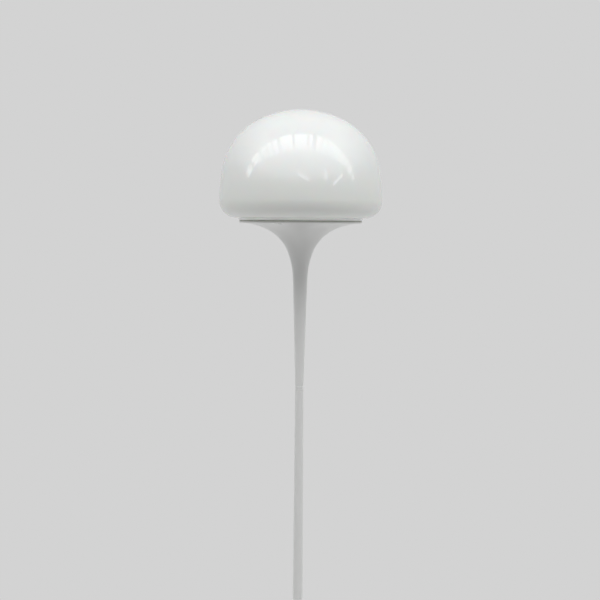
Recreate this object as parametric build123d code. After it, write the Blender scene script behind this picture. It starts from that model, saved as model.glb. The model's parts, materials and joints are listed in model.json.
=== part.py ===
from build123d import *
import math
import os

# Mushroom floor lamp: an opal dome shade that rests on the flared head of a slim white stand.
# Millimetres. The floor is z = 0, +Z is up, every turned piece is centred on the Z axis,
# and the cord inlet faces +Y, the back of the lamp.

# ---------------------------------------------------------------- fits
slip = 0.1                  # radial clearance of a turned piece inside a tube or a pocket
thread_play = 0.1           # radial clearance between a thread's crest and its hole
rest_gap = 0.3              # left between pieces that come apart or turn on each other
past = 3.0                  # how far a cutter reaches past what it cuts

# ---------------------------------------------------------------- foot
felt_t = 2.0                # felt ring under the base plate
felt_width = 26.0
felt_inset = 1.5            # felt edge in from the base plate's edge
base_plate_t = 1.5
base_plate_play = 1.2       # base plate's edge in from the skirt's inner face
foot_r = 150.0              # outer radius of the foot
foot_sheet = 1.5
skirt_rise = 14.0           # straight part of the skirt
skirt_corner = 4.0          # rounding between the skirt and the top
edge_slope = 4.0            # slope of the top where it leaves the rounding, degrees
mid_slope = 30.0            # slope where the wide arc meets the middle arc
steep_slope = 70.0          # slope where the middle arc meets the neck arc
foot_mid_arc = 98.0
foot_neck_arc = 355.0
weight_in = 15.0            # casting's edge in from the foot's edge
weight_h = 40.0             # height of the casting's boss
weight_boss_r = 34.0
weight_disc_h = 20.0        # height of the casting's disc round the boss
weight_gap = 0.4            # casting to the spun shell above it
weight_web = 10.0           # iron left above the nut's counterbore

# ---------------------------------------------------------------- tube and nut that clamp the foot
base_tube_r = 6.5
base_tube_bore = 4.2
base_nut_flats = 22.0
base_nut_t = 6.0
base_washer_r = 15.0
base_washer_t = 1.5
tube_proud = 1.0            # tube below its nut
counterbore_play = 3.0      # round the washer
foot_plug_depth = 30.0      # plug inside the foot's neck
foot_plug_rise = 30.0       # plug inside the pole

# ---------------------------------------------------------------- cord entry at the back of the foot
cord_bore_r = 3.4
gland_body_r = 4.8
gland_flange_r = 5.5
gland_flange_t = 1.8
gland_tail = 7.0            # bush inside the inner flange
gland_z = 9.6
channel_w = 12.0            # channel under the casting, from the counterbore to the edge
channel_h = 11.0
clamp_in = 33.0             # clamp bar in from the foot's edge
clamp_w = 32.0
clamp_l = 9.0
clamp_t = 2.5
clamp_recess = 5.0          # recess in the casting's underside
clamp_play = 1.5
block_back = 39.0           # terminal block towards the middle from the clamp bar
block_w = 27.0
block_l = 15.0
block_h = 11.0
block_recess = 14.5
block_play = 3.0
block_pole_pitch = 8.6
block_pole_l = 4.0          # each clamping screw off the middle of the block
block_screw_r = 1.7
block_screw_depth = 7.7
block_grip = 4.0            # thread of the block's screws in the iron

# ---------------------------------------------------------------- screws
m3_r = 1.5
m3_head_r = 2.8
m3_head_t = 1.9
m3_len = 8.0
ring_screw_len = 4.0        # the locating ring's screws are cut short above the trumpet
m4_r = 2.0
m4_head_r = 3.8
m4_head_t = 1.3
m4_len = 9.0
base_screw_in = 54.0        # the plate's screws in from the foot's edge
base_screw_count = 3
base_screw_turn = -90.0     # first screw, degrees from +X
driver_slot_w = 0.8
driver_slot_t = 0.7

# ---------------------------------------------------------------- pole and its screwed joint
pole_foot_r = 12.0
pole_top_r = 9.5
pole_wall = 1.5
pole_len = 583.0
groove_h = 0.8              # shadow groove between a ring and its tube
groove_depth = 0.5
lower_ring_h = 4.2
upper_ring_h = 6.6
ring_chamfer = 0.35
plug_len = 25.0             # plug of each ring inside its tube
nipple_r = 6.0
nipple_bore = 4.2
nipple_reach = 14.0         # into each ring
rod_r = 5.0
rod_bore = 3.6

# ---------------------------------------------------------------- trumpet head
trumpet_sheet = 1.2
cone_len = 250.1
cone_slope = 88.3           # of the straight neck, degrees
trumpet_neck_arc = 190.0
trumpet_mid_arc = 98.0
rim_r = 142.8
rim_bend = 2.0              # outer radius of the turned-up rim
rim_straight = 1.6

# ---------------------------------------------------------------- plate, gasket and locating ring
plate_sheet = 1.2
plate_play = 0.2
plate_hem_bend = 1.6
boss_r = 28.0               # raised middle of the plate
boss_rise = 4.0
boss_bend = 3.0
boss_slope = 40.0
washer_r = 14.0
washer_t = 1.5
nut_flats = 17.0
nut_t = 5.5
gasket_t = 2.5
gasket_inset = 0.6          # gasket's edge in from the rim
gasket_play = 0.5
ring_sheet = 1.2
ring_height = 9.0
ring_foot = 12.0
ring_play = 1.5             # shade opening to locating ring
ring_screw_count = 4
ring_screw_turn = 45.0      # first screw, degrees from +X

# ---------------------------------------------------------------- shade
shade_r = 190.0
shade_wall = 3.5
shade_opening_r = 125.0
shade_flare = 4.6           # concave corner above the rim
belly_arc = 42.0
belly_r = 148.0             # radius at which the belly hangs lowest
crown_rise = 209.7          # from the widest level to the top
shoulder_arc = 160.0
side_slope = 80.0           # where the side arc meets the shoulder arc
crown_slope = 26.0          # where the shoulder arc meets the crown arc

# ---------------------------------------------------------------- lampholder
cap_neck_r = 8.5
cap_neck_h = 7.5
cap_r = 19.5
cap_wall = 1.6
cap_rise = 9.0              # cone between the cap's neck and its skirt
cap_skirt_h = 9.0
rod_into_cap = 9.5
barrel_r = 20.0
barrel_h = 35.0
barrel_lead = 7.5           # barrel's threaded end inside the cap
barrel_rib_count = 4
barrel_rib = 0.5
barrel_rib_h = 2.4
insert_r = 15.8
insert_h = 15.0
insert_lip = 1.9            # width of the ledge that holds the insert
sleeve_bore = 13.45
sleeve_wall = 0.5
sleeve_h = 21.0
contact_rise = 4.4
contact_w = 6.0
contact_t = 0.5
terminal_r = 1.5
terminal_h = 2.2
terminal_circle = 9.5

# ---------------------------------------------------------------- bulb
bulb_len = 108.0
bulb_r = 30.0
bulb_wall = 1.5
bulb_seam = 30.0            # degrees below the globe's equator where it meets the housing
thread_r = 13.1
thread_root = 0.85
thread_pitch = 3.629
thread_turns = 4
cap_shell_h = 22.0
tip_r = 4.6
tip_h = 1.2
insulator_h = 2.8
insulator_inset = 1.0
board_r = 21.0
board_t = 1.6
housing_ledge = 1.6
driver_pocket_r = 11.0
chip_count = 10
chip_size = 2.8
chip_h = 0.7
chip_circle = 14.0

# ---------------------------------------------------------------- lead inside the stand
lead_r = 2.6
lead_drop = 7.0             # lead's middle above the casting's underside
lead_end_gap = 0.5          # bend to the tube's end

UPRIGHT = (Align.CENTER, Align.CENTER, Align.MIN)


# ---------------------------------------------------------------- geometry helpers
def sin(degrees):
    return math.sin(math.radians(degrees))


def cos(degrees):
    return math.cos(math.radians(degrees))


def ahead(point, heading, distance):
    """Point at a distance along a heading, in degrees from outward (0) towards up (90)."""
    return (point[0] + distance * cos(heading), point[1] + distance * sin(heading))


def arc_span(radius, start, end):
    """How far an arc goes outward and up while its heading turns from start to end."""
    turn = math.copysign(radius, end - start)
    return (turn * (sin(end) - sin(start)), turn * (cos(start) - cos(end)))


def run(start, heading, moves, shift=0.0):
    """Edges of a path of tangent lines and arcs in (radius, height), with its two end points.

    A move is (length,) for a straight stretch or (radius, heading at its end) for an arc.
    A positive shift gives the parallel path that far to the left.
    """
    first = ahead(start, heading + 90, shift)
    here = first
    edges = []
    for move in moves:
        if len(move) == 1:
            there = ahead(here, heading, move[0])
            edges.append(Line(here, there))
        else:
            radius, new_heading = move
            reach = radius - math.copysign(1, new_heading - heading) * shift
            halfway = arc_span(reach, heading, (heading + new_heading) / 2)
            whole = arc_span(reach, heading, new_heading)
            middle = (here[0] + halfway[0], here[1] + halfway[1])
            there = (here[0] + whole[0], here[1] + whole[1])
            edges.append(ThreePointArc(here, middle, there))
            heading = new_heading
        here = there
    return edges, first, here


def turned(edges):
    """Solid of revolution about Z from a closed outline in (radius, height)."""
    return revolve(Plane.XZ * make_face(edges), Axis.Z)


def turned_points(*points):
    return turned(Polyline(*points, close=True).edges())


def shell(start, heading, moves, wall):
    """Turned sheet: the path, and its parallel one wall to the left."""
    near, near_start, near_end = run(start, heading, moves)
    far, far_start, far_end = run(start, heading, moves, wall)
    return turned(near + far + [Line(near_start, far_start), Line(near_end, far_end)])


def drum(radius, low, high, bore=0.0):
    """Upright cylinder on the Z axis, with an optional bore."""
    solid = Pos(0, 0, low) * Cylinder(radius, high - low, align=UPRIGHT)
    if bore:
        solid -= Pos(0, 0, low) * Cylinder(bore, high - low, align=UPRIGHT)
    return solid


def peg(x, y, radius, low, high):
    return Pos(x, y, 0) * drum(radius, low, high)


def slab(x_size, y_middle, y_size, low, high):
    """Upright box centred on x = 0."""
    return Pos(0, y_middle, low) * Box(x_size, y_size, high - low, align=UPRIGHT)


def hexagon(flats, low, high, bore):
    outline = RegularPolygon(flats / 2, 6, major_radius=False)
    return Pos(0, 0, low) * extrude(outline, high - low) - drum(bore, low, high)


def screw(x, y, seat, up, shank_r, shank_len, head_r, head_t):
    """Slotted pan-head screw whose head bears on the seat; up is the way its shank points."""
    ends = sorted((seat, seat + up * shank_len))
    head = sorted((seat, seat - up * head_t))
    slot_low = head[0] if up > 0 else head[1] - driver_slot_t
    body = peg(x, y, shank_r, *ends) + peg(x, y, head_r, *head)
    slot = Pos(x, 0, 0) * slab(driver_slot_w, y, 2 * head_r + past, slot_low, slot_low + driver_slot_t)
    return body - slot


def circle_places(radius, count, first=0.0):
    return [(radius * cos(first + 360 / count * i), radius * sin(first + 360 / count * i))
            for i in range(count)]


# ---------------------------------------------------------------- levels and outlines that follow
base_plate_z = felt_t
weight_z = base_plate_z + base_plate_t
weight_top = weight_z + weight_h
weight_r = foot_r - weight_in
base_screw_circle = foot_r - base_screw_in
clamp_y = foot_r - clamp_in
block_y = clamp_y - block_back
base_plate_r = foot_r - foot_sheet - base_plate_play

pole_taper = math.degrees(math.atan((pole_foot_r - pole_top_r) / pole_len))
_corner = arc_span(skirt_corner, 90, 180 - edge_slope)
_middle = arc_span(foot_mid_arc, 180 - mid_slope, 180 - steep_slope)
_neck = arc_span(foot_neck_arc, 180 - steep_slope, 90 + pole_taper)
foot_wide_arc = ((foot_r + _corner[0] + _middle[0] + _neck[0] - pole_foot_r)
                 / (sin(mid_slope) - sin(edge_slope)))
foot_start = (foot_r, base_plate_z)
foot_moves = [
    (skirt_rise,),
    (skirt_corner, 180 - edge_slope),
    (foot_wide_arc, 180 - mid_slope),
    (foot_mid_arc, 180 - steep_slope),
    (foot_neck_arc, 90 + pole_taper),
]
foot_top = run(foot_start, 90, foot_moves)[2][1]

web_z = weight_top - weight_web
base_washer_z = web_z - base_washer_t
base_nut_z = base_washer_z - base_nut_t
base_tube_low = base_nut_z - tube_proud
foot_plug_low = foot_top - foot_plug_depth
foot_plug_high = foot_top + foot_plug_rise
counterbore_r = base_washer_r + counterbore_play

pole_top = foot_top + pole_len
lower_ring_z = pole_top + groove_h
parting_z = lower_ring_z + lower_ring_h
upper_ring_top = parting_z + upper_ring_h
neck_z = upper_ring_top + groove_h
nipple_low = parting_z - nipple_reach
nipple_high = parting_z + nipple_reach

_cone = (cone_len * cos(cone_slope), cone_len * sin(cone_slope))
_trumpet_neck = arc_span(trumpet_neck_arc, cone_slope, steep_slope)
_trumpet_mid = arc_span(trumpet_mid_arc, steep_slope, mid_slope)
trumpet_wide_arc = ((rim_r - rim_bend - pole_top_r - _cone[0] - _trumpet_neck[0] - _trumpet_mid[0])
                    / sin(mid_slope))
trumpet_start = (pole_top_r, neck_z)
trumpet_moves = [
    (cone_len,),
    (trumpet_neck_arc, steep_slope),
    (trumpet_mid_arc, mid_slope),
    (trumpet_wide_arc, 0),
    (rim_bend, 90),
    (rim_straight,),
]
rim_z = run(trumpet_start, cone_slope, trumpet_moves)[2][1]
trumpet_floor = rim_z - rim_straight - rim_bend + trumpet_sheet
plate_r = rim_r - rim_bend - plate_play
boss_z = rim_z + boss_rise

washer_z = boss_z
nut_z = washer_z + washer_t
cap_z = nut_z + nut_t
rod_low = nipple_high + rest_gap
rod_high = cap_z + rod_into_cap

ring_r = shade_opening_r - ring_play
gasket_top = rim_z + gasket_t
shade_z = gasket_top + rest_gap
belly_z = shade_z + shade_flare + belly_arc
collar_r = belly_r - shade_flare
shade_top = belly_z + crown_rise

cap_skirt_z = cap_z + cap_neck_h + cap_rise
cap_top = cap_skirt_z + cap_skirt_h
insert_z = cap_top - barrel_lead
insert_top = insert_z + insert_h
barrel_top = cap_top + barrel_h
contact_top = insert_top + contact_rise
bulb_tip_z = contact_top + rest_gap
bulb_top = bulb_tip_z + bulb_len
bulb_middle = bulb_top - bulb_r
seam_z = bulb_middle - bulb_r * sin(bulb_seam)
seam_r = bulb_r * cos(bulb_seam)
insulator_z = bulb_tip_z + tip_h
bulb_shell_z = insulator_z + insulator_h + rest_gap
bulb_shell_top = bulb_shell_z + cap_shell_h
bulb_root_r = thread_r - thread_root
lead_z = weight_z + lead_drop
lead_bend = base_tube_low - lead_end_gap - lead_z


def pole_outer(z):
    """Outer radius of the tapered pole at a height."""
    return pole_foot_r - (z - foot_top) * math.tan(math.radians(pole_taper))


# ---------------------------------------------------------------- foot pieces
def floor_felt():
    outer = base_plate_r - felt_inset
    return drum(outer, 0, felt_t, outer - felt_width)


def base_plate():
    plate = drum(base_plate_r, base_plate_z, weight_z)
    for x, y in circle_places(base_screw_circle, base_screw_count, base_screw_turn):
        plate -= peg(x, y, m4_r + thread_play, base_plate_z, weight_z)
    return plate


def base_plate_screws():
    return [screw(x, y, base_plate_z, 1, m4_r, m4_len, m4_head_r, m4_head_t)
            for x, y in circle_places(base_screw_circle, base_screw_count, base_screw_turn)]


def base_bell():
    bell = shell(foot_start, 90, foot_moves, foot_sheet)
    hole = (Pos(0, foot_r, gland_z) * Rot(90, 0, 0)
            * Cylinder(gland_body_r + slip, 2 * (foot_sheet + past)))
    return bell - hole


def base_weight():
    gap = foot_sheet + weight_gap
    under, first, last = run(foot_start, 90, foot_moves, gap)
    room = turned(under + [Line(last, (0, last[1])), Line((0, last[1]), (0, first[1])),
                           Line((0, first[1]), first)])
    iron = room & (drum(weight_r, weight_z, weight_z + weight_disc_h)
                   + drum(weight_boss_r, weight_z, weight_top))
    iron -= drum(base_tube_r + thread_play, weight_z, weight_top)
    iron -= drum(counterbore_r, weight_z, web_z)
    iron -= slab(channel_w, foot_r / 2, foot_r, weight_z, weight_z + channel_h)
    iron -= slab(block_w + 2 * block_play, block_y, block_l + 2 * block_play,
                 weight_z, weight_z + block_recess)
    iron -= slab(clamp_w + 2 * clamp_play, clamp_y, clamp_l + 2 * clamp_play,
                 weight_z, weight_z + clamp_recess)
    for x, y, low in clamp_screw_places():
        iron -= peg(x, y, m3_r + thread_play, low, low + m3_len)
    for x, y, low in block_screw_places():
        iron -= peg(x, y, m3_r + thread_play, low, low + block_h + block_grip + rest_gap)
    for x, y in circle_places(base_screw_circle, base_screw_count, base_screw_turn):
        iron -= peg(x, y, m4_r + thread_play, weight_z, base_plate_z + m4_len + thread_play)
    return iron


def clamp_screw_places():
    """Clamp screws as x, y and the underside of the clamp bar."""
    reach = (channel_w + clamp_w) / 4
    return [(side * reach, clamp_y, weight_z + clamp_recess - clamp_t) for side in (-1, 1)]


def block_screw_places():
    """Terminal block screws as x, y and the underside of the block."""
    return [(side * block_pole_pitch / 2, block_y, weight_z + block_recess - block_h)
            for side in (-1, 1)]


def cord_clamp():
    top = weight_z + clamp_recess
    bar = slab(clamp_w, clamp_y, clamp_l, top - clamp_t, top)
    for x, y, low in clamp_screw_places():
        bar -= peg(x, y, m3_r + thread_play, low, top)
    return bar


def cord_clamp_screws():
    return [screw(x, y, low, 1, m3_r, m3_len - rest_gap, m3_head_r, m3_head_t)
            for x, y, low in clamp_screw_places()]


def block_poles():
    return [(column * block_pole_pitch, block_y + row * block_pole_l)
            for column in (-1, 0, 1) for row in (-1, 1)]


def terminal_block():
    top = weight_z + block_recess
    low = top - block_h
    block = slab(block_w, block_y, block_l, low, top)
    for x, y, _ in block_screw_places():
        block -= peg(x, y, m3_r + thread_play, low, top)
    for x, y in block_poles():
        block -= peg(x, y, block_screw_r + thread_play, low, low + block_screw_depth)
    return block


def terminal_block_screws():
    return [screw(x, y, low, 1, m3_r, block_h + block_grip, m3_head_r, m3_head_t)
            for x, y, low in block_screw_places()]


def terminal_clamp_screws():
    low = weight_z + block_recess - block_h
    face = low + thread_play
    pieces = []
    for x, y in block_poles():
        pin = peg(x, y, block_screw_r, face, low + block_screw_depth)
        slot = Pos(x, 0, 0) * slab(driver_slot_w, y, 2 * block_screw_r + past,
                                   face, face + driver_slot_t)
        pieces.append(pin - slot)
    return pieces


def cord_gland():
    bush_in = foot_r - foot_sheet - gland_flange_t - gland_tail
    bush_out = foot_r + gland_flange_t
    bush = Pos(0, bush_in, gland_z) * Rot(-90, 0, 0) * Cylinder(
        gland_body_r, bush_out - bush_in + past, align=UPRIGHT)
    collar = Pos(0, bush_in, gland_z) * Rot(-90, 0, 0) * Cylinder(
        gland_flange_r, bush_out - bush_in + past, align=UPRIGHT)
    low, high = gland_z - gland_flange_r - past, gland_z + gland_flange_r + past
    outside = drum(bush_out, low, high, foot_r)
    inside = drum(foot_r - foot_sheet, low, high, foot_r - foot_sheet - gland_flange_t)
    gland = (bush & drum(bush_out, low, high)) + (collar & outside) + (collar & inside)
    bore = Pos(0, bush_in, gland_z) * Rot(-90, 0, 0) * Cylinder(
        cord_bore_r, 2 * (bush_out - bush_in + past))
    return gland - bore


def base_washer():
    return drum(base_washer_r, base_washer_z, web_z, base_tube_r + thread_play)


def base_nut():
    return hexagon(base_nut_flats, base_nut_z, base_washer_z, base_tube_r + thread_play)


def base_tube():
    return drum(base_tube_r, base_tube_low, foot_plug_high, base_tube_bore)


def foot_plug():
    lower_r = pole_foot_r - foot_sheet - slip
    upper_r = pole_outer(foot_plug_high) - pole_wall - slip
    bore = base_tube_r + thread_play
    return turned_points((bore, foot_plug_low), (lower_r, foot_plug_low), (lower_r, foot_top),
                         (upper_r, foot_top), (upper_r, foot_plug_high), (bore, foot_plug_high))


# ---------------------------------------------------------------- pole pieces
def lower_pole():
    return turned_points((pole_foot_r - pole_wall, foot_top), (pole_foot_r, foot_top),
                         (pole_top_r, pole_top), (pole_top_r - pole_wall, pole_top))


def ring_edges(low, high, radius):
    """Corner points of a ring's outer face, with both edges chamfered."""
    return [(radius - ring_chamfer, low), (radius, low + ring_chamfer),
            (radius, high - ring_chamfer), (radius - ring_chamfer, high)]


def lower_coupler():
    plug_r = pole_top_r - pole_wall - slip
    groove_r = pole_top_r - groove_depth
    bore = nipple_r + thread_play
    return turned_points((bore, pole_top - plug_len), (plug_r, pole_top - plug_len),
                         (plug_r, pole_top), (groove_r, pole_top), (groove_r, lower_ring_z),
                         *ring_edges(lower_ring_z, parting_z, pole_top_r), (bore, parting_z))


def upper_coupler():
    plug_r = pole_top_r - trumpet_sheet - slip
    groove_r = pole_top_r - groove_depth
    bore = nipple_r + thread_play
    rod_hole = rod_r + thread_play
    plug_top = neck_z + plug_len
    return turned_points((bore, parting_z), *ring_edges(parting_z, upper_ring_top, pole_top_r),
                         (groove_r, upper_ring_top), (groove_r, neck_z), (plug_r, neck_z),
                         (plug_r, plug_top), (rod_hole, plug_top), (rod_hole, nipple_high),
                         (bore, nipple_high))


def coupler_nipple():
    return drum(nipple_r, nipple_low, nipple_high, nipple_bore)


def centre_rod():
    return drum(rod_r, rod_low, rod_high, rod_bore)


# ---------------------------------------------------------------- head pieces
def neck_trumpet():
    return shell(trumpet_start, cone_slope, trumpet_moves, trumpet_sheet)


def top_plate():
    fall = 2 * arc_span(boss_bend, 0, -boss_slope)[1]
    flank = (boss_rise + fall) / sin(boss_slope)
    hem = rim_z - trumpet_floor - plate_hem_bend
    flank_reach = 2 * arc_span(boss_bend, 0, -boss_slope)[0] + flank * cos(boss_slope)
    flat = plate_r - plate_hem_bend - boss_r - flank_reach
    start = (rod_r + slip, boss_z)
    moves = [
        (boss_r - start[0],),
        (boss_bend, -boss_slope),
        (flank,),
        (boss_bend, 0),
        (flat,),
        (plate_hem_bend, -90),
        (hem,),
    ]
    plate = shell(start, 0, moves, -plate_sheet)
    for x, y in ring_screw_places():
        plate -= peg(x, y, m3_r + thread_play, rim_z - plate_sheet, rim_z)
    return plate


def plate_washer():
    return drum(washer_r, washer_z, nut_z, rod_r + thread_play)


def plate_nut():
    return hexagon(nut_flats, nut_z, cap_z, rod_r + thread_play)


def shade_gasket():
    return drum(rim_r - gasket_inset, rim_z, gasket_top, ring_r + gasket_play)


def ring_screw_places():
    return circle_places(ring_r - ring_foot / 2, ring_screw_count, ring_screw_turn)


def locating_ring():
    inner = ring_r - ring_foot
    wall = ring_r - ring_sheet
    ring = turned_points((inner, rim_z), (ring_r, rim_z), (ring_r, rim_z + ring_height),
                         (wall, rim_z + ring_height), (wall, rim_z + ring_sheet),
                         (inner, rim_z + ring_sheet))
    for x, y in ring_screw_places():
        ring -= peg(x, y, m3_r + thread_play, rim_z, rim_z + ring_sheet)
    return ring


def locating_ring_screws():
    return [screw(x, y, rim_z + ring_sheet, -1, m3_r, ring_screw_len, m3_head_r, m3_head_t)
            for x, y in ring_screw_places()]


def shade():
    # The side and crown arcs are as large as the widest level and the top ask for.
    across = shade_r - shoulder_arc * (sin(side_slope) - sin(crown_slope))
    upward = crown_rise - shoulder_arc * (cos(crown_slope) - cos(side_slope))
    a, b = sin(crown_slope), 1 - sin(side_slope)
    c, d = 1 - cos(crown_slope), cos(side_slope)
    crown_arc = (across * d - b * upward) / (a * d - b * c)
    side_arc = (a * upward - c * across) / (a * d - b * c)
    moves = [
        (shade_flare, 0),
        (shade_r - belly_r, 90),
        (side_arc, 180 - side_slope),
        (shoulder_arc, 180 - crown_slope),
        (crown_arc, 180),
    ]
    dome = shell((collar_r, shade_z), 90, moves, shade_wall)
    lip = drum(collar_r - shade_wall / 2, shade_z, shade_z + shade_wall, shade_opening_r)
    return dome + lip


# ---------------------------------------------------------------- lampholder pieces
def holder_cap():
    hole = rod_r + thread_play
    neck_top = cap_z + cap_neck_h
    inside = cap_r - cap_wall
    ledge = insert_r - insert_lip
    return turned_points((hole, cap_z), (cap_neck_r, cap_z), (cap_neck_r, neck_top),
                         (cap_r, cap_skirt_z), (cap_r, cap_top), (inside, cap_top),
                         (inside, insert_z), (ledge, insert_z), (ledge, cap_skirt_z - cap_wall),
                         (hole + cap_wall, rod_high), (hole, rod_high))


def holder_barrel():
    thread = cap_r - cap_wall - slip
    pocket = insert_r + slip
    bore = sleeve_bore + sleeve_wall + slip
    wall = turned_points((pocket, insert_z), (thread, insert_z), (thread, cap_top),
                         (barrel_r, cap_top), (barrel_r, barrel_top), (bore, barrel_top),
                         (bore, insert_top), (pocket, insert_top))
    pitch = barrel_h / (barrel_rib_count + 1)
    for i in range(barrel_rib_count):
        middle = cap_top + pitch * (i + 1)
        wall += drum(barrel_r + barrel_rib, middle - barrel_rib_h / 2, middle + barrel_rib_h / 2,
                     barrel_r - barrel_rib)
    return wall


def terminal_places():
    return [(terminal_circle * side, 0) for side in (-1, 1)]


def holder_insert():
    block = drum(insert_r, insert_z, insert_top)
    for x, y in terminal_places():
        block -= peg(x, y, terminal_r + thread_play, insert_z, insert_z + insert_h / 2)
    return block


def holder_terminal_screws():
    return [screw(x, y, insert_z, 1, terminal_r, insert_h / 2 - rest_gap, 2 * terminal_r, terminal_h)
            for x, y in terminal_places()]


def holder_sleeve():
    return drum(sleeve_bore + sleeve_wall, insert_top, insert_top + sleeve_h, sleeve_bore)


def holder_contact():
    """Sprung centre tongue: a foot on the insert, a slope and a flat under the bulb's tip."""
    high = contact_top - contact_t
    foot = sleeve_bore - 2 * contact_t
    points = [(-foot, insert_top), (-foot / 2, insert_top), (foot / 4, high), (foot / 2, high),
              (foot / 2, contact_top), (0, contact_top), (-foot / 2, insert_top + contact_t),
              (-foot, insert_top + contact_t)]
    strip = extrude(Plane.XZ * make_face(Polyline(*points, close=True).edges()), contact_w)
    return Pos(0, contact_w / 2, 0) * strip


# ---------------------------------------------------------------- bulb pieces
def bulb_tip():
    return drum(tip_r, bulb_tip_z, insulator_z)


def bulb_insulator():
    top = insulator_z + insulator_h
    return turned_points((0, insulator_z), (tip_r, insulator_z),
                         (bulb_root_r - insulator_inset, top - insulator_inset),
                         (bulb_root_r - insulator_inset, top), (0, top))


def bulb_screw_cap():
    """Threaded cap, its thread drawn as one rounded ridge for each turn."""
    inner = bulb_root_r - sleeve_wall
    ridges = []
    for i in range(thread_turns):
        low = bulb_shell_z + thread_pitch * (i + 0.5)
        ridges.append(ThreePointArc((bulb_root_r, low), (thread_r, low + thread_pitch / 2),
                                    (bulb_root_r, low + thread_pitch)))
    start = (bulb_root_r, bulb_shell_z + thread_pitch / 2)
    end = (bulb_root_r, start[1] + thread_pitch * thread_turns)
    rest = Polyline(end, (thread_r, end[1] + thread_root), (thread_r, bulb_shell_top),
                    (inner, bulb_shell_top), (inner, bulb_shell_z), (bulb_root_r, bulb_shell_z),
                    start)
    return turned(ridges + rest.edges())


def bulb_housing():
    low = (thread_r, bulb_shell_top)
    high = (seam_r, seam_z)
    leave = 90 - bulb_seam
    chord = math.degrees(math.atan2(high[1] - low[1], high[0] - low[0]))
    reach = math.dist(low, high) / (2 * sin(chord - leave))
    side, _, _ = run(low, 2 * chord - leave, [(reach, leave)])
    body = turned(side + [Line(high, (0, high[1])), Line((0, high[1]), (0, low[1])),
                          Line((0, low[1]), low)])
    body -= drum(board_r + slip, seam_z - housing_ledge, seam_z)
    return body - drum(driver_pocket_r, bulb_shell_top + bulb_wall, seam_z)


def led_board():
    board = drum(board_r, seam_z - housing_ledge, seam_z - housing_ledge + board_t)
    top = seam_z - housing_ledge + board_t
    for x, y in circle_places(chip_circle, chip_count):
        board += Pos(x, y, top) * Box(chip_size, chip_size, chip_h, align=UPRIGHT)
    return board


def bulb_globe():
    middle = Pos(0, 0, bulb_middle)
    globe = middle * Sphere(bulb_r) - middle * Sphere(bulb_r - bulb_wall)
    return globe & drum(2 * bulb_r, seam_z, bulb_top + bulb_wall)


# ---------------------------------------------------------------- lead inside the stand
def inner_lead():
    """Flex from the terminal block, round one bend and straight up the stand to the holder."""
    start = (0, block_y - block_l / 2, lead_z)
    path = FilletPolyline(start, (0, 0, lead_z), (0, 0, insert_z), radius=lead_bend)
    profile = Plane(origin=start, z_dir=(0, -1, 0)) * Circle(lead_r)
    return sweep(profile, path)


PIECES = [
    floor_felt, base_plate, base_plate_screws, base_bell, base_weight, base_washer, base_nut,
    base_tube, foot_plug, cord_gland, cord_clamp, cord_clamp_screws, terminal_block,
    terminal_block_screws, terminal_clamp_screws, lower_pole, lower_coupler, coupler_nipple,
    upper_coupler, neck_trumpet, centre_rod, top_plate, plate_washer, plate_nut, shade_gasket,
    locating_ring, locating_ring_screws, holder_cap, holder_barrel, holder_insert,
    holder_terminal_screws, holder_sleeve, holder_contact, bulb_tip, bulb_insulator,
    bulb_screw_cap, bulb_housing, led_board, bulb_globe, inner_lead, shade,
]


def main():
    os.makedirs("parts", exist_ok=True)
    for make in PIECES:
        made = make()
        solids = made if isinstance(made, list) else [made]
        shape = Compound([solid for piece in solids for solid in piece.solids()])
        export_step(shape, f"parts/{make.__name__}.step")
        print(f"{make.__name__}: {len(shape.solids())} solids, valid {shape.is_valid}")
    print(f"height {shade_top:.2f}, rim {rim_z:.2f}, neck joint {parting_z:.2f}, foot {foot_top:.2f}")
    print(f"lead bend {lead_bend:.2f}, bulb top {bulb_top:.2f}")


if __name__ == "__main__":
    main()
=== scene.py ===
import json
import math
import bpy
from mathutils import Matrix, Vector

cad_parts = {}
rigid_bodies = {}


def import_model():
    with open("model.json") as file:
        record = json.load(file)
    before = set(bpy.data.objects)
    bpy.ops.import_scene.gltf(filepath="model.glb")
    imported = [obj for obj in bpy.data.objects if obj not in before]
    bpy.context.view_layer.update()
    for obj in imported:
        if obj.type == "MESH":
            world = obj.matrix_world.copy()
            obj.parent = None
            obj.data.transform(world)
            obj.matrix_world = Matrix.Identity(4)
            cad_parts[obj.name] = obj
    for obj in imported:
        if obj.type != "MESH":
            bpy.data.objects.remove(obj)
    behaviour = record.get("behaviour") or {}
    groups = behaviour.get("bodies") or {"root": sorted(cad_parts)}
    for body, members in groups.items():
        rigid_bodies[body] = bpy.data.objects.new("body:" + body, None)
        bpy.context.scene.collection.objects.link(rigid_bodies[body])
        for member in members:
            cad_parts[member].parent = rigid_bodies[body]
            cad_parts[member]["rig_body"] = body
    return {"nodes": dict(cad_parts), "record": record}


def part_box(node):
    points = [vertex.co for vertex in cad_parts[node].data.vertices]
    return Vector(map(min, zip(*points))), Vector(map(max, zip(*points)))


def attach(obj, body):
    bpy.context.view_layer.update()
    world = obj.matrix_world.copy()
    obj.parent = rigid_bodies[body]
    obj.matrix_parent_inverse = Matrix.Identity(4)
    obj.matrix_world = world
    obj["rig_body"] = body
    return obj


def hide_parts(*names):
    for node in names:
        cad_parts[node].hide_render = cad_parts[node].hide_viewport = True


bl_info = {
    "name": "Mushroom Floor Lamp",
    "version": (1, 0, 0),
    "blender": (4, 5, 0),
    "location": "3D View > Sidebar > Floor Lamp",
    "description": "An opal dome on a slim white stand, dressed around its packed construction",
    "category": "Add Mesh",
}

import bmesh
import bpy
from bpy.props import FloatProperty, FloatVectorProperty, IntProperty, PointerProperty
from mathutils import Matrix, Vector

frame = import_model()

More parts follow.
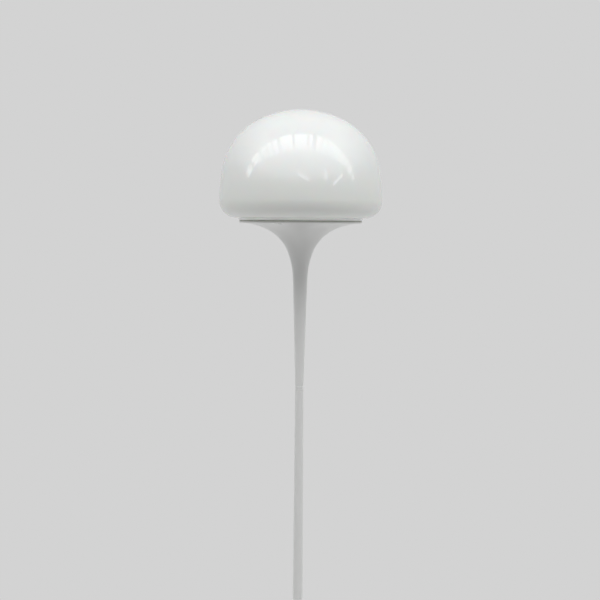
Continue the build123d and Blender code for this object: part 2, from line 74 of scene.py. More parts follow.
# Metres and degrees. The floor is z = 0 and the lamp's own axis is the Z axis.
SLOT_OF = {part["node"]: part["material_slot"] for part in frame["record"]["subparts"]}
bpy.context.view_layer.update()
MM = 0.001
ARC_STEP = 3.0              # degrees of an arc to one edge
ROUND_STEPS = 192           # edges round a large turned piece
MIDDLE_STEPS = 128          # edges round the lampholder and the bulb
SLIM_STEPS = 96             # edges round the pole, its ring and the bulb's thread
SMALL_STEPS = 64            # edges round a screw or a bush
MERGE = 0.003 * MM          # points nearer than this are one
SHARP_ANGLE = 35.0          # folds sharper than this keep a hard edge
HOLDER_WALL = 1.6 * MM      # wall of the lampholder's cap
BRACE = 1.2 * MM            # edge loops this near a rim stop its rounding from tilting the shading


# ---------------------------------------------------------------- places read from the frame
def low(node):
    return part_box(node)[0].z


def high(node):
    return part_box(node)[1].z


def radius(node):
    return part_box(node)[1].x


def middle_height(node):
    return (low(node) + high(node)) / 2


def sin(degrees):
    return math.sin(math.radians(degrees))


def cos(degrees):
    return math.cos(math.radians(degrees))


# ---------------------------------------------------------------- sizes and colours a user may change
def length(name, default, text):
    return FloatProperty(name=name, description=text, default=default, min=0.0, unit="LENGTH",
                         subtype="DISTANCE", precision=5)


def slope(name, default, text):
    return FloatProperty(name=name, description=text, default=default)


def level(name, default, text):
    return FloatProperty(name=name, description=text, default=default, min=0.0)


def colour(name, default, text):
    return FloatVectorProperty(name=name, description=text, default=default, size=3, min=0.0, max=1.0,
                               subtype="COLOR")


class ShadeForm(bpy.types.PropertyGroup):
    radius: length("Radius", radius("shade"), "Widest radius of the dome")
    wall: length("Wall", 3.5 * MM, "Thickness of the moulding")
    opening: length("Opening", 125 * MM, "Radius of the hole in the collar's lip")
    collar: length("Collar", 143.4 * MM, "Outer radius of the collar that rests on the gasket")
    flare: length("Flare", 4.6 * MM, "Radius of the hollow corner over the collar")
    belly: length("Belly", 42 * MM, "Radius of the arc that turns from the underside to the side")
    shoulder: length("Shoulder", 160 * MM, "Radius of the arc between the side and the crown")
    side_slope: slope("Side slope", 80.0, "Slope where the side meets the shoulder, degrees")
    crown_slope: slope("Crown slope", 26.0, "Slope where the shoulder meets the crown, degrees")


class StandForm(bpy.types.PropertyGroup):
    foot_sheet: length("Foot sheet", 1.5 * MM, "Thickness of the spun foot")
    skirt_rise: length("Skirt", 14 * MM, "Straight height of the foot's edge")
    skirt_corner: length("Skirt corner", 4 * MM, "Rounding over the foot's edge")
    foot_mid: length("Foot middle arc", 98 * MM, "Radius of the foot's middle arc")
    foot_neck: length("Foot neck arc", 355 * MM, "Radius of the arc that runs up into the pole")
    pole_wall: length("Pole wall", 1.5 * MM, "Wall of the pole")
    trumpet_sheet: length("Trumpet sheet", 1.2 * MM, "Thickness of the spun trumpet")
    cone: length("Cone", 250.1 * MM, "Straight stretch over the screwed joint")
    trumpet_neck: length("Trumpet neck arc", 190 * MM, "Radius of the trumpet's first arc")
    trumpet_mid: length("Trumpet middle arc", 98 * MM, "Radius of the trumpet's second arc")
    rim_bend: length("Rim bend", 2 * MM, "Outer radius of the turned-up rim")
    rim_straight: length("Rim", 1.6 * MM, "Straight height of the rim")
    edge_slope: slope("Edge slope", 4.0, "Slope of the foot at its edge, degrees")
    mid_slope: slope("Middle slope", 30.0, "Slope where the wide arc meets the middle arc, degrees")
    steep_slope: slope("Steep slope", 70.0, "Slope where the middle arc meets the neck arc, degrees")
    cone_slope: slope("Cone slope", 88.3, "Slope of the cone over the joint, degrees")


class HeadForm(bpy.types.PropertyGroup):
    plate_sheet: length("Plate sheet", 1.2 * MM, "Thickness of the plate and the locating ring")
    hem_bend: length("Hem bend", 1.6 * MM, "Outer radius of the plate's turned-down edge")
    boss_radius: length("Boss", 28 * MM, "Radius of the plate's raised middle")
    boss_rise: length("Boss rise", 4 * MM, "Height of the plate's raised middle")
    boss_bend: length("Boss bend", 3 * MM, "Radius of the bends round the raised middle")
    boss_slope: slope("Boss slope", 40.0, "Slope of the raised middle's flank, degrees")
    ring_foot: length("Ring foot", 12 * MM, "Width of the locating ring's flat foot")
    ring_bend: length("Ring bend", 1.7 * MM, "Outer radius of the locating ring's bend")
    rod_hole: length("Rod hole", 5.1 * MM, "Radius of the holes round the centre rod")


class BulbForm(bpy.types.PropertyGroup):
    globe: length("Globe", radius("bulb_globe"), "Radius of the frosted globe")
    wall: length("Wall", 1.5 * MM, "Wall of the globe and the housing")
    thread_depth: length("Thread depth", 0.85 * MM, "Crest over root of the cap's thread")
    pitch: length("Pitch", 3.629 * MM, "Rise of the cap's thread in one turn")
    turns: IntProperty(name="Turns", description="Turns of the cap's thread", default=4, min=1, max=8)
    seam_slope: slope("Seam", 30.0, "Where the globe ends, degrees under its widest level")


class Finishes(bpy.types.PropertyGroup):
    lacquer: colour("Lacquer", (0.78, 0.785, 0.775), "Stove enamel of the stand")
    opal_top: colour("Opal crown", (0.90, 0.912, 0.903), "Opal acrylic at the crown of the dome")
    # Belly colour: darker and greener than the crown, painted shade together with the moulding's own tint.
    opal_belly_shade_and_tint: colour("Opal belly", (0.85, 0.866, 0.818), "Opal acrylic at the belly of the dome")
    # Underside colour: lighter than the belly, painted light on the band where the dome turns in.
    opal_underside_painted_light: colour("Opal underside", (0.95, 0.962, 0.925), "Opal acrylic where it thickens as it turns in")
    rubber: colour("Rubber", (0.38, 0.395, 0.34), "The gasket under the dome")
    felt: colour("Felt", (0.30, 0.30, 0.31), "The ring under the foot")
    zinc: colour("Zinc", (0.70, 0.71, 0.72), "Plated screws, nuts and plates")
    iron: colour("Iron", (0.09, 0.09, 0.10), "The casting in the foot")
    brass: colour("Brass", (0.78, 0.62, 0.30), "Contacts and clamping screws")
    holder: colour("Lampholder", (0.83, 0.83, 0.81), "Thermoset mouldings of the lampholder")


class StageForm(bpy.types.PropertyGroup):
    backdrop: level("Backdrop", 0.651, "Brightness of the plain surround")
    ambient: level("Ambient", 0.06, "Light that comes from all round")
    sky: level("Sky", 3.2, "Further light from high up in front")
    wall_light: level("Wall light", 1.05, "Further light from the wall behind the lamp")
    side_light: level("Side light", 0.1, "Further light from the right")
    facing_wall: level("Facing wall", 2.4, "Brightness that the wall behind the camera adds in gloss")
    floor_glow: level("Floor glow", 0.52, "Light that comes up from the far floor")
    glazing: level("Glazing", 4.4, "Brightness of the overhead panes in gloss")
    key_light: level("Key light", 20.5, "Light that comes down from the panes, in watts")
    camera_distance: length("Distance", 3.2, "From the camera to the lamp's axis")
    camera_height: length("Eye level", 1.195, "Height of the camera over the floor")
    focal: level("Focal length", 82.4, "In millimetres, for a sensor 36 mm wide")
    pitch: slope("Pitch", -3.341, "Camera's tilt over the horizon, degrees")
    roll: slope("Roll", 0.45, "Camera's turn about its own axis, degrees")


# ---------------------------------------------------------------- outlines, drawn as edges in the XZ plane
def ahead(start, heading, distance):
    """Point at a distance along a heading, in degrees from outward (0) towards up (90)."""
    return (start[0] + distance * cos(heading), start[1] + distance * sin(heading))


def reach(arc_radius, start, end):
    """How far an arc goes outward and up while its heading turns from start to end."""
    turn = math.copysign(arc_radius, end - start)
    return (turn * (sin(end) - sin(start)), turn * (cos(start) - cos(end)))


def shifted(moves, heading, shift):
    """The moves of the parallel path that far to the left."""
    parallel = []
    for move in moves:
        if len(move) == 1:
            parallel.append(move)
        else:
            parallel.append((move[0] - shift * math.copysign(1, move[1] - heading), move[1]))
            heading = move[1]
    return parallel


def braced(run):
    """A straight run in parts, a short one at each end of a long one."""
    return [BRACE, run - 2 * BRACE, BRACE] if run > 5 * BRACE else [run]


def put(bm, start):
    return bm.verts.new((start[0], 0.0, start[1]))


def join(bm, first, second):
    bmesh.ops.contextual_create(bm, geom=[first, second])


def draw(bm, vert, heading, moves):
    """Runs a chain of edges on from vert: (length,) goes straight, (radius, heading) turns."""
    for move in moves:
        if len(move) == 1:
            for part in braced(move[0]):
                step = ahead((0, 0), heading, part)
                vert = bmesh.ops.extrude_vert_indiv(bm, verts=[vert])["verts"][0]
                bmesh.ops.translate(bm, verts=[vert], vec=(step[0], 0, step[1]))
            continue
        arc_radius, new_heading = move
        turn = new_heading - heading
        side = ahead((0, 0), heading + 90, math.copysign(arc_radius, turn))
        steps = max(2, math.ceil(abs(turn) / ARC_STEP))
        made = bmesh.ops.spin(bm, geom=[vert], cent=vert.co + Vector((side[0], 0, side[1])),
                              axis=(0, -1, 0), angle=math.radians(turn), steps=steps)
        vert = [item for item in made["geom_last"] if isinstance(item, bmesh.types.BMVert)][0]
        heading = new_heading
    return vert


def draw_sheet(bm, start, heading, moves, wall):
    """Outline of a sheet: the path, its parallel one wall to the left, and the two cut ends."""
    near_first = put(bm, start)
    near_last = draw(bm, near_first, heading, moves)
    far_first = put(bm, ahead(start, heading + 90, wall))
    far_last = draw(bm, far_first, heading, shifted(moves, heading, wall))
    join(bm, near_first, far_first)
    join(bm, near_last, far_last)


def draw_loop(bm, *points):
    """Closed outline through points of (radius, height)."""
    verts = []
    for here, there in zip(points, points[1:] + points[:1]):
        run = math.dist(here, there)
        done = 0.0
        for part in braced(run):
            verts.append(put(bm, Vector(here).lerp(Vector(there), done / run)))
            done += part
    for here, there in zip(verts, verts[1:] + verts[:1]):
        join(bm, here, there)


def drum(outer, bottom, top, bore=0.0):
    """Outline of a disc or a tube."""
    return (bore, bottom), (outer, bottom), (outer, top), (bore, top)


def spin_round(bm, steps=ROUND_STEPS):
    """Turns the drawn outline once round the Z axis into a closed skin that faces outwards."""
    for vert in bm.verts:
        if abs(vert.co.x) < MERGE:
            vert.co.x = 0.0
    bmesh.ops.spin(bm, geom=bm.verts[:] + bm.edges[:], cent=(0, 0, 0), axis=(0, 0, 1),
                   angle=math.tau, steps=steps, use_merge=True)
    bmesh.ops.remove_doubles(bm, verts=bm.verts, dist=MERGE)
    bmesh.ops.recalc_face_normals(bm, faces=bm.faces)


def soften(bm, rounding, segments=2, angle=30.0):
    """Rounds every fold sharper than angle, in degrees."""
    folds = [edge for edge in bm.edges
             if edge.is_manifold and edge.calc_face_angle(0.0) > math.radians(angle)]
    bmesh.ops.bevel(bm, geom=folds, offset=rounding, offset_type="OFFSET", segments=segments,
                    profile=0.5, affect="EDGES", clamp_overlap=True, material=-1)
    bmesh.ops.remove_doubles(bm, verts=bm.verts, dist=MERGE)
    bmesh.ops.dissolve_degenerate(bm, edges=bm.edges, dist=MERGE)


def place(bm, matrix):
    bmesh.ops.transform(bm, matrix=matrix, verts=bm.verts)


def rod(bm, x, y, rod_radius, bottom, top, steps=SMALL_STEPS):
    """Upright cylinder or prism."""
    middle = Matrix.Translation((x, y, (bottom + top) / 2))
    bmesh.ops.create_cone(bm, cap_ends=True, segments=steps, radius1=rod_radius, radius2=rod_radius,
                          depth=top - bottom, matrix=middle)


def block(bm, size, middle):
    bmesh.ops.create_cube(bm, size=1.0, matrix=Matrix.Translation(middle) @ Matrix.Diagonal((*size, 1)))


def to_object(name, bm):
    """Object of a new mesh made from bm, in the scene."""
    mesh = bpy.data.meshes.new(name)
    bm.to_mesh(mesh)
    made = bpy.data.objects.new(name, mesh)
    bpy.context.scene.collection.objects.link(made)
    return made


def absorb(bm, other):
    """Moves the other's shape into bm."""
    mesh = bpy.data.meshes.new("moved")
    other.to_mesh(mesh)
    other.free()
    bm.from_mesh(mesh)
    bpy.data.meshes.remove(mesh)


def carve(bm, cutter):
    """Takes the cutter's solids out of bm, which is filled again with the result."""
    body, tool = to_object("carved", bm), to_object("cutter", cutter)
    cutter.free()
    modifier = body.modifiers.new("carve", "BOOLEAN")
    modifier.operation = "DIFFERENCE"
    modifier.solver = "EXACT"
    modifier.object = tool
    depsgraph = bpy.context.evaluated_depsgraph_get()
    result = bpy.data.meshes.new_from_object(body.evaluated_get(depsgraph))
    bm.clear()
    bm.from_mesh(result)
    for mesh in (result, body.data, tool.data):
        bpy.data.meshes.remove(mesh)


def circle_places(circle, count, first):
    """Places round the axis, the first at so many degrees from +X."""
    return [(circle * cos(first + 360 / count * i), circle * sin(first + 360 / count * i))
            for i in range(count)]


def finish_piece(bm, name, node):
    """Makes bm the piece that stands for the CAD node."""
    for face in bm.faces:
        face.smooth = True
    piece = to_object(name, bm)
    bm.free()
    piece.data.set_sharp_from_angle(angle=math.radians(SHARP_ANGLE))
    piece.data.materials.append(finish_of(node))
    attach(piece, frame["nodes"][node]["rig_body"])
    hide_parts(node)


def turn_piece(name, node, points, rounding, steps=ROUND_STEPS, segments=2):
    """Piece turned from a closed outline, with its folds rounded."""
    bm = bmesh.new()
    draw_loop(bm, *points)
    spin_round(bm, steps)
    soften(bm, rounding, segments)
    finish_piece(bm, name, node)


def spin_sheet(name, node, start, heading, moves, wall, rounding):
    """Piece turned from the outline of a sheet, with its edges rounded."""
    bm = bmesh.new()
    draw_sheet(bm, start, heading, moves, wall)
    spin_round(bm)
    soften(bm, rounding)
    finish_piece(bm, name, node)


# ---------------------------------------------------------------- shader maths
class Value:
    """A socket of a node tree; arithmetic on it adds Math nodes."""

    def __init__(self, finish, socket):
        self.finish = finish
        self.socket = socket

    def math(self, operation, *values):
        return self.finish.node("ShaderNodeMath", {"operation": operation}, dict(enumerate(values)))

    def __add__(self, other):
        return self.math("ADD", self, other)

    __radd__ = __add__

    def __sub__(self, other):
        return self.math("SUBTRACT", self, other)

    def __rsub__(self, other):
        return self.math("SUBTRACT", other, self)

    def __mul__(self, other):
        return self.math("MULTIPLY", self, other)

    __rmul__ = __mul__

    def most(self, other):
        return self.math("MAXIMUM", self, other)


class Finish:
    """The node tree of a material or a world, whose nodes are all made by node()."""

    def __init__(self, owner):
        owner.use_nodes = True
        self.owner = owner
        self.tree = owner.node_tree
        self.tree.nodes.clear()
        self.point = self.node("ShaderNodeTexCoord", output="Object")

    def node(self, kind, settings=None, inputs=None, output=0):
        """A node with its settings made first, then the values and links of its sockets."""
        node = self.tree.nodes.new(kind)
        for key, value in (settings or {}).items():
            setattr(node, key, value)
        for key, value in (inputs or {}).items():
            if isinstance(value, Value):
                self.tree.links.new(value.socket, node.inputs[key])
            else:
                node.inputs[key].default_value = value
        return Value(self, node.outputs[output]) if node.outputs else node

    def noise(self, scale, detail=3.0, roughness=0.5, stretch=None):
        """Noise from 0 to 1 with so many features to the metre, drawn out by a scale for each axis."""
        where = self.point
        if stretch:
            where = self.node("ShaderNodeMapping", None, {"Vector": self.point, "Scale": stretch})
        return self.node("ShaderNodeTexNoise", None,
                         {"Vector": where, "Scale": scale, "Detail": detail, "Roughness": roughness})

    def grains(self, scale, randomness=1.0):
        """Distance to the nearest of scattered points, so many to the metre."""
        return self.node("ShaderNodeTexVoronoi", None,
                         {"Vector": self.point, "Scale": scale, "Randomness": randomness})

    def step(self, value, start, end):
        """0 where value is under start and 1 over end, with a soft step between."""
        return self.node("ShaderNodeMapRange", {"interpolation_type": "SMOOTHSTEP"},
                         {"Value": value, "From Min": start, "From Max": end})

    def axis(self, letter):
        return self.node("ShaderNodeSeparateXYZ", None, {"Vector": self.point}, letter)

    def height(self):
        return self.axis("Z")

    def from_axis(self):
        flat = self.node("ShaderNodeVectorMath", {"operation": "MULTIPLY"},
                         {0: self.point, 1: (1.0, 1.0, 0.0)})
        return self.node("ShaderNodeVectorMath", {"operation": "LENGTH"}, {0: flat}, "Value")

    def facing_up(self):
        normal = self.node("ShaderNodeNewGeometry", output="Normal")
        return self.node("ShaderNodeSeparateXYZ", None, {"Vector": normal}, "Z")

    def mix(self, factor, first, second):
        """Colour between first, at a factor of 0, and second."""
        ends = [shade if isinstance(shade, Value) else (*shade, 1.0) for shade in (first, second)]
        return self.node("ShaderNodeMix", {"data_type": "RGBA"}, {0: factor, 6: ends[0], 7: ends[1]}, 2)

    def bump(self, height, distance, under=None):
        """Normal of a surface that rises by distance where height is 1."""
        inputs = {"Height": height, "Distance": distance}
        if under:
            inputs["Normal"] = under
        return self.node("ShaderNodeBump", None, inputs)

    def surface(self, **inputs):
        """Ends the material in the Principled shader; an underscore stands for a space."""
        named = {key.replace("_", " "): value for key, value in inputs.items()}
        self.end("ShaderNodeBsdfPrincipled", named)

    def end(self, kind, inputs):
        owner = "World" if isinstance(self.owner, bpy.types.World) else "Material"
        self.node("ShaderNodeOutput" + owner, None, {"Surface": self.node(kind, None, inputs)})


def scaled(tint, factor):
    return tuple(min(1.0, part * factor) for part in tint)


def picked(name):
    """A colour of the finishes as a tuple."""
    return tuple(getattr(bpy.context.scene.lamp_finishes, name))


# ---------------------------------------------------------------- finishes
def white_lacquer(finish):
    """Stove enamel: fine orange peel, dust on what faces up, smudges at the joint, scuffs at the floor."""
    lacquer = picked("lacquer")
    joint = high("lower_coupler")
    height = finish.height()
    cloud = finish.noise(7, 4)
    handled = (finish.step(height, joint - 0.16, joint - 0.05)
               * (1 - finish.step(height, joint + 0.04, joint + 0.15)))
    smudge = finish.step(finish.noise(34, 5, 0.6, (1, 1, 0.5)), 0.5, 0.72) * (handled * 0.8 + 0.15)
    dust = finish.step(finish.facing_up(), 0.35, 0.95) * finish.step(finish.noise(260, 4, 0.65), 0.42, 0.7)
    scuff = (finish.step(finish.noise(120, 5, 0.7, (1, 1, 3)), 0.62, 0.7)
             * (1 - finish.step(height, 0.012, 0.026)))
    tint = finish.mix(cloud, scaled(lacquer, 0.985), scaled(lacquer, 1.015))
    tint = finish.mix(smudge * 0.35, tint, scaled(lacquer, 0.88))
    tint = finish.mix(dust * 0.22, tint, (0.70, 0.69, 0.66))
    tint = finish.mix(scuff * 0.5, tint, (0.45, 0.45, 0.44))
    rough = cloud * 0.10 + smudge * 0.14 + dust * 0.2 + scuff * 0.3 + 0.24
    peel = finish.bump(finish.noise(430, 2), 0.00004)
    finish.surface(Base_Color=tint, Roughness=rough, Normal=finish.bump(cloud, 0.0003, peel),
                   IOR=1.5, Coat_Weight=0.25, Coat_Roughness=0.12)


def opal_acrylic(finish):
    """Polished opal moulding: darker and greener low down, which is painted shade together with the
    moulding's own tint, a lighter band painted as light where it turns in, and wiped-off dust.
    """
    base, top = low("shade"), high("shade")
    height = finish.height()
    # Painted shade: the colour darkens and greens towards the dome's bottom, partly the moulding's own tint.
    low_shade_and_tint = 1 - finish.step(height, base - 0.02, base + (top - base) * 0.62)
    flow = finish.noise(5, 2, 0.4, (1, 1, 2))
    wiped = finish.noise(24, 5, 0.6, (1, 1, 0.35))
    specks = 1 - finish.step(finish.grains(85), 0.02, 0.045)
    dust = finish.step(finish.facing_up(), 0.55, 1.0) * finish.step(finish.noise(330, 3, 0.6), 0.48, 0.72)
    # Painted light: a lighter band on the underside where the dome turns in.
    painted_underside_light = 1 - finish.step(height, base + 0.026, base + 0.048)
    tint = finish.mix(low_shade_and_tint, picked("opal_top"), picked("opal_belly_shade_and_tint"))
    tint = finish.mix(painted_underside_light, tint, picked("opal_underside_painted_light"))
    tint = finish.mix(flow * 0.25, tint, scaled(picked("opal_top"), 0.97))
    tint = finish.mix(dust * 0.12 + specks * 0.10, tint, (0.62, 0.61, 0.57))
    rough = finish.step(wiped, 0.45, 0.8) * 0.03 + dust * 0.08 + 0.02
    ripple = finish.bump(finish.noise(16, 2, 0.4), 0.00012)
    finish.surface(Base_Color=tint, Roughness=rough, Normal=finish.bump(flow, 0.0006, ripple),
                   IOR=1.49, Subsurface_Weight=0.12, Subsurface_Scale=0.006)


def gasket_rubber(finish):
    grain = finish.noise(900, 3, 0.7)
    bloom = finish.step(finish.noise(60, 4, 0.6), 0.45, 0.75)
    tint = finish.mix(bloom * 0.5, picked("rubber"), scaled(picked("rubber"), 1.5))
    finish.surface(Base_Color=tint, Roughness=grain * 0.15 + 0.6, IOR=1.52,
                   Normal=finish.bump(grain, 0.0001))


def grey_felt(finish):
    """Pressed wool: crossed fibres, flecks and a soft nap."""
    felt = picked("felt")
    fibres = finish.noise(700, 6, 0.75, (1, 4, 1)).most(finish.noise(700, 6, 0.75, (4, 1, 1)))
    flecks = finish.step(finish.noise(260, 3, 0.8), 0.6, 0.72)
    tint = finish.mix(fibres, scaled(felt, 0.55), scaled(felt, 1.5))
    tint = finish.mix(flecks * 0.6, tint, (0.55, 0.54, 0.52))
    finish.surface(Base_Color=tint, Roughness=0.95, Normal=finish.bump(fibres, 0.0004),
                   Sheen_Weight=0.3, Sheen_Roughness=0.5)


def metal(finish, tint, roughness, grain=300.0, stretch=(1, 1, 8), tarnish=0.25):
    """Bare or plated metal with drawn-out polishing lines and a dull bloom."""
    lines = finish.noise(grain, 4, 0.65, stretch)
    bloom = finish.step(finish.noise(45, 4, 0.6), 0.4, 0.75)
    shade = finish.mix(lines, scaled(tint, 0.9), scaled(tint, 1.08))
    shade = finish.mix(bloom * tarnish, shade, scaled(tint, 0.6))
    finish.surface(Base_Color=shade, Metallic=1.0, Roughness=lines * 0.12 + bloom * 0.15 + roughness,
                   Normal=finish.bump(lines, 0.00003))


def zinc_steel(finish):
    """Zinc plate shows a faint spangle of flat grains."""
    tint = picked("zinc")
    spangle = finish.grains(160)
    lines = finish.noise(340, 4, 0.65, (6, 1, 1))
    bloom = finish.step(finish.noise(30, 4, 0.6), 0.45, 0.75)
    shade = finish.mix(spangle, scaled(tint, 0.82), scaled(tint, 1.12))
    shade = finish.mix(bloom * 0.3, shade, scaled(tint, 0.62))
    finish.surface(Base_Color=shade, Metallic=1.0, Roughness=lines * 0.12 + bloom * 0.16 + 0.26,
                   Normal=finish.bump(lines, 0.00003))


def black_iron(finish):
    """Sand-cast iron under a thin primer, worn bare on its high spots."""
    iron = picked("iron")
    sand = finish.noise(380, 6, 0.7)
    lumps = finish.noise(55, 3)
    bare = finish.step(sand * 0.6 + lumps * 0.4, 0.58, 0.66)
    tint = finish.mix(lumps, scaled(iron, 0.7), scaled(iron, 1.4))
    tint = finish.mix(bare * 0.5, tint, (0.20, 0.15, 0.12))
    finish.surface(Base_Color=tint, Roughness=sand * 0.2 + 0.62,
                   Normal=finish.bump(sand, 0.0006, finish.bump(lumps, 0.0015)))


def moulding(finish, tint, roughness, grain=500.0, depth=0.00004):
    """Moulded plastic with a spark-eroded grain and a slight yellowing in patches."""
    skin = finish.noise(grain, 3, 0.6)
    patch = finish.step(finish.noise(20, 3), 0.35, 0.7)
    shade = finish.mix(patch * 0.5, tint, (tint[0] * 0.99, tint[1] * 0.975, tint[2] * 0.93))
    finish.surface(Base_Color=shade, Roughness=skin * 0.12 + roughness,
                   Normal=finish.bump(skin, depth), IOR=1.5)


def holder_plastic(finish):
    moulding(finish, picked("holder"), 0.3)


def steatite(finish):
    moulding(finish, (0.86, 0.83, 0.76), 0.6, 700.0, 0.00012)


def brass(finish):
    metal(finish, picked("brass"), 0.26, 260.0, (1, 6, 1))


def clamp_plastic(finish):
    moulding(finish, (0.80, 0.80, 0.77), 0.42)


def gland_plastic(finish):
    moulding(finish, (0.82, 0.83, 0.82), 0.36)


def bulb_opal(finish):
    """Frosted diffuser: an even powdery white with a fine tooth."""
    tooth = finish.noise(1200, 2)
    drift = finish.noise(30, 3)
    tint = finish.mix(drift, (0.90, 0.90, 0.88), (0.94, 0.94, 0.925))
    finish.surface(Base_Color=tint, Roughness=tooth * 0.1 + 0.5, Normal=finish.bump(tooth, 0.00003),
                   Subsurface_Weight=0.2, Subsurface_Scale=0.004)


def bulb_housing(finish):
    moulding(finish, (0.88, 0.88, 0.87), 0.28, 600.0)


def bulb_cap_metal(finish):
    metal(finish, (0.74, 0.74, 0.73), 0.24, 420.0, (1, 1, 10))


def black_insulator(finish):
    moulding(finish, (0.035, 0.035, 0.04), 0.15, 200.0)


def led_board(finish):
    """White solder mask with a faint weave under it."""
    moulding(finish, (0.84, 0.84, 0.82), 0.4, 1400.0)


def lead_sheath(finish):
    moulding(finish, (0.80, 0.80, 0.78), 0.45, 350.0)


FINISHES = {maker.__name__: maker for maker in (
    white_lacquer, opal_acrylic, gasket_rubber, grey_felt, zinc_steel, black_iron, holder_plastic,
    steatite, brass, clamp_plastic, gland_plastic, bulb_opal, bulb_housing, bulb_cap_metal,
    black_insulator, led_board, lead_sheath)}


def finish_of(node):
    """The material of the slot that the record gives to a node, made when it is first asked for."""
    slot = SLOT_OF[node]
    name = "lamp_" + slot
    if name not in bpy.data.materials:
        FINISHES[slot](Finish(bpy.data.materials.new(name)))
    return bpy.data.materials[name]


# ---------------------------------------------------------------- the dome
def make_dome(form):
    """Collar lip, hollow corner, belly, side, shoulder and crown, with the same run inside."""
    bm = bmesh.new()
    base = low("shade")
    belly_radius = form.collar + form.flare
    across = form.radius - form.shoulder * (sin(form.side_slope) - sin(form.crown_slope))
    upward = (high("shade") - base - form.flare - form.belly
              - form.shoulder * (cos(form.crown_slope) - cos(form.side_slope)))
    lean = (sin(form.crown_slope), 1 - sin(form.side_slope))
    rise = (1 - cos(form.crown_slope), cos(form.side_slope))
    share = lean[0] * rise[1] - lean[1] * rise[0]
    moves = [
        (form.flare, 0),
        (form.radius - belly_radius, 90),
        ((lean[0] * upward - rise[0] * across) / share, 180 - form.side_slope),
        (form.shoulder, 180 - form.crown_slope),
        ((across * rise[1] - lean[1] * upward) / share, 180),
    ]
    outer = put(bm, (form.opening, base))
    collar = draw(bm, outer, 0, [(form.collar - form.opening,)])
    draw(bm, collar, 90, moves)
    caught = math.degrees(math.asin(form.wall / (form.flare + form.wall)))
    inner = put(bm, (form.opening, base + form.wall))
    ledge = belly_radius - (form.flare + form.wall) * cos(caught)
    root = draw(bm, inner, 0, [(ledge - form.opening,)])
    draw(bm, root, 90 - caught, shifted(moves, 90, form.wall))
    join(bm, outer, inner)
    spin_round(bm)
    soften(bm, 0.6 * MM, segments=3)
    finish_piece(bm, "dome", "shade")


# ---------------------------------------------------------------- the stand
def make_foot(form):
    """Spun bell: a short skirt, a wide arc, and two more arcs that run up into the pole."""
    bm = bmesh.new()
    foot, pole = radius("base_bell"), radius("lower_pole")
    pole_rise = high("lower_pole") - low("lower_pole")
    taper = math.degrees(math.atan((pole - radius("upper_coupler")) / pole_rise))
    corner = reach(form.skirt_corner, 90, 180 - form.edge_slope)
    middle = reach(form.foot_mid, 180 - form.mid_slope, 180 - form.steep_slope)
    neck = reach(form.foot_neck, 180 - form.steep_slope, 90 + taper)
    wide = ((foot + corner[0] + middle[0] + neck[0] - pole)
            / (sin(form.mid_slope) - sin(form.edge_slope)))
    moves = [
        (form.skirt_rise,),
        (form.skirt_corner, 180 - form.edge_slope),
        (wide, 180 - form.mid_slope),
        (form.foot_mid, 180 - form.steep_slope),
        (form.foot_neck, 90 + taper),
    ]
    draw_sheet(bm, (foot, low("base_bell")), 90, moves, form.foot_sheet)
    spin_round(bm)
    bmesh.ops.bisect_plane(bm, geom=bm.verts[:] + bm.edges[:] + bm.faces[:], dist=MERGE,
                           plane_co=(0, 0, high("base_bell") - BRACE), plane_no=(0, 0, 1))
    soften(bm, 0.25 * MM)
    bush_hole, depth = radius("cord_gland") - 0.6 * MM, 20 * MM
    drill = bmesh.new()
    rod(drill, 0, 0, bush_hole, -depth, depth)
    place(drill, Matrix.Rotation(math.pi / 2, 4, "X"))
    place(drill, Matrix.Translation((0, foot, middle_height("cord_gland"))))
    carve(bm, drill)
    finish_piece(bm, "spun_foot", "base_bell")


def make_pole(form):
    foot, top, wall = radius("lower_pole"), radius("upper_coupler"), form.pole_wall
    bottom, end = low("lower_pole"), high("lower_pole")
    outline = [(foot - wall, bottom), (foot, bottom), (top, end), (top - wall, end)]
    turn_piece("pole_tube", "lower_pole", outline, 0.2 * MM, SLIM_STEPS)


def make_couplers(form):
    """The two halves of the screwed ring, each with a shadow groove against its tube."""
    ring = radius("upper_coupler")
    groove, chamfer, plug_gap, gap = 0.5 * MM, 0.35 * MM, 0.1 * MM, 0.8 * MM
    bore = radius("coupler_nipple") + plug_gap
    parting = high("lower_coupler")
    bottom, pole_end = low("lower_coupler"), high("lower_pole")
    plug = ring - form.pole_wall - plug_gap
    outline = [(bore, bottom), (plug, bottom), (plug, pole_end),
               (ring - groove, pole_end), (ring - groove, pole_end + gap), (ring - chamfer, pole_end + gap),
               (ring, pole_end + gap + chamfer), (ring, parting - chamfer), (ring - chamfer, parting),
               (bore, parting)]
    turn_piece("ring_lower", "lower_coupler", outline, 0.12 * MM, SLIM_STEPS)

    neck, top = low("neck_trumpet"), high("upper_coupler")
    plug = ring - form.trumpet_sheet - plug_gap
    rod_bore = radius("centre_rod") + plug_gap
    shoulder = high("coupler_nipple")
    outline = [(bore, parting), (ring - chamfer, parting), (ring, parting + chamfer),
               (ring, neck - gap - chamfer), (ring - chamfer, neck - gap), (ring - groove, neck - gap),
               (ring - groove, neck), (plug, neck), (plug, top), (rod_bore, top), (rod_bore, shoulder),
               (bore, shoulder)]
    turn_piece("ring_upper", "upper_coupler", outline, 0.12 * MM, SLIM_STEPS)


def make_trumpet(form):
    """Spun head: a long cone, two arcs and a wide one, then the turned-up rim."""
    start = (radius("upper_coupler"), low("neck_trumpet"))
    cone = ahead((0, 0), form.cone_slope, form.cone)
    neck = reach(form.trumpet_neck, form.cone_slope, form.steep_slope)
    middle = reach(form.trumpet_mid, form.steep_slope, form.mid_slope)
    wide = ((radius("neck_trumpet") - form.rim_bend - start[0] - cone[0] - neck[0] - middle[0])
            / sin(form.mid_slope))
    moves = [
        (form.cone,),
        (form.trumpet_neck, form.steep_slope),
        (form.trumpet_mid, form.mid_slope),
        (wide, 0),
        (form.rim_bend, 90),
        (form.rim_straight,),
    ]
    spin_sheet("trumpet_head", "neck_trumpet", start, form.cone_slope, moves, form.trumpet_sheet, 0.3 * MM)


